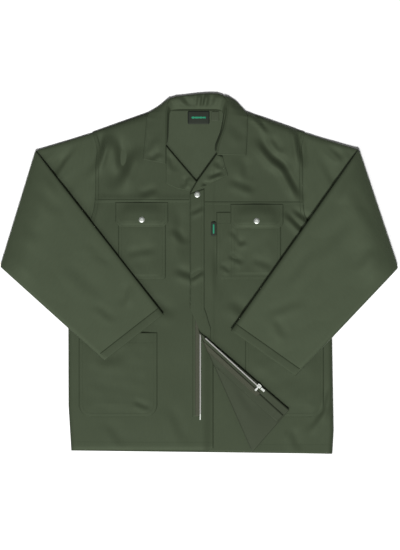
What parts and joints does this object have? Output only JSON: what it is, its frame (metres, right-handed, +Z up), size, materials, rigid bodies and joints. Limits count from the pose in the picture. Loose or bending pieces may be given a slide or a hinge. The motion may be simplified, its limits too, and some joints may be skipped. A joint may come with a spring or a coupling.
{
  "type": "work jacket",
  "caption": "Long-sleeved work jacket laid flat, forearms folded in, with notched collar, flapped chest pockets, hip pockets and a zip under a fly, its lower front corner turned back.",
  "frame": {"origin": "middle of the outline of the jacket as it lies, on the surface under its back", "axes": "+X to the wearer's left across the jacket, +Y to the collar, +Z up out of the surface"},
  "size_m": [0.8652, 0.7905, 0.0284],
  "materials": {
    "cloth": "matt twill",
    "cloth_inside": "matt twill, wrong side",
    "zip_tape": "ribbed tape",
    "zip_metal": "bright",
    "stud_metal": "bright nickel",
    "label_black": "satin weave",
    "label_olive": "satin weave"
  },
  "bodies": {
    "jacket": {"back_panel": "cloth", "back_yoke": "cloth", "front_panel_right": "cloth", "front_panel_left": "cloth", "front_yoke_right": "cloth", "front_yoke_left": "cloth", "fly_placket": "cloth", "lapel_right": "cloth", "lapel_left": "cloth", "collar_stand": "cloth_inside", "collar_fall": "cloth", "collar_interlining": "cloth_inside", "sleeve_upper_right": "cloth", "sleeve_upper_left": "cloth", "chest_pocket_right": "cloth", "chest_pocket_left": "cloth", "flap_base_right": "cloth", "flap_base_left": "cloth", "hip_pocket_right": "cloth", "hip_pocket_left": "cloth", "zip_facing_right": "cloth", "zip_facing_left": "cloth_inside", "zip_tape_right": "zip_tape", "zip_tape_left_upper": "zip_tape", "zip_teeth_right": "zip_metal", "zip_teeth_left_upper": "zip_metal", "zip_pin": "stud_metal", "zip_top_stops": "zip_metal", "neck_stud_cap": "stud_metal", "neck_stud_socket": "stud_metal", "neck_stud_post": "stud_metal", "chest_stud_post_right": "stud_metal", "chest_stud_post_left": "stud_metal", "neck_label": "label_black", "size_tab": "label_olive", "side_label": "label_black"},
    "forearm_right": {"forearm_right": "cloth", "cuff_hem_right": "cloth"},
    "forearm_left": {"forearm_left": "cloth", "cuff_hem_left": "cloth"},
    "front_corner": {"front_corner": "cloth", "fly_placket_lower": "cloth", "corner_facing": "cloth_inside", "zip_tape_left_lower": "zip_tape", "zip_teeth_left_lower": "zip_metal", "zip_box": "stud_metal"},
    "zip_slider": {"zip_slider": "stud_metal"},
    "zip_pull": {"zip_pull": "stud_metal"},
    "flap_right": {"flap_right": "cloth", "chest_stud_cap_right": "stud_metal", "chest_stud_socket_right": "stud_metal"},
    "flap_left": {"flap_left": "cloth", "chest_stud_cap_left": "stud_metal", "chest_stud_socket_left": "stud_metal"},
    "collar_right": {"collar_leaf_right": "cloth"},
    "collar_left": {"collar_leaf_left": "cloth"}
  },
  "joints": [
    {"name": "sleeve_right_fold", "type": "hinge", "parent": "jacket", "child": "forearm_right", "pos_m": [-0.35681, 0.27191, 0.0102], "axis": [-0.2924, -0.9563, 0], "range_deg": [0, 176]},
    {"name": "sleeve_left_fold", "type": "hinge", "parent": "jacket", "child": "forearm_left", "pos_m": [0.34368, 0.27423, 0.0142], "axis": [-0.3156, 0.9489, 0], "range_deg": [0, 176]},
    {"name": "front_corner_fold", "type": "hinge", "parent": "jacket", "child": "front_corner", "pos_m": [-0.003, -0.1185, 0.01475], "axis": [0.4044, -0.9146, 0], "range_deg": [0, 164]},
    {"name": "flap_right_lift", "type": "hinge", "parent": "jacket", "child": "flap_right", "pos_m": [-0.128, 0.156, 0.0147], "axis": [-1, 0, 0], "range_deg": [0, 150]},
    {"name": "flap_left_lift", "type": "hinge", "parent": "jacket", "child": "flap_left", "pos_m": [0.125, 0.152, 0.0187], "axis": [-1, 0, 0], "range_deg": [0, 150]},
    {"name": "collar_right_lift", "type": "hinge", "parent": "jacket", "child": "collar_right", "pos_m": [-0.0745, 0.311, 0.009], "axis": [0, 1, 0], "range_deg": [0, 145]},
    {"name": "collar_left_lift", "type": "hinge", "parent": "jacket", "child": "collar_left", "pos_m": [0.036, 0.262, 0.013], "axis": [-0.1969, -0.9804, 0], "range_deg": [0, 150]},
    {"name": "zip_slide", "type": "slide", "parent": "front_corner", "child": "zip_slider", "axis": [-0.7396, 0.673, 0], "range_m": [0, 0.1]},
    {"name": "zip_pull_turn", "type": "hinge", "parent": "zip_slider", "child": "zip_pull", "pos_m": [0.12976, -0.2466, 0.0239], "axis": [-0.7396, 0.673, 0], "range_deg": [0, 180]}
  ]
}
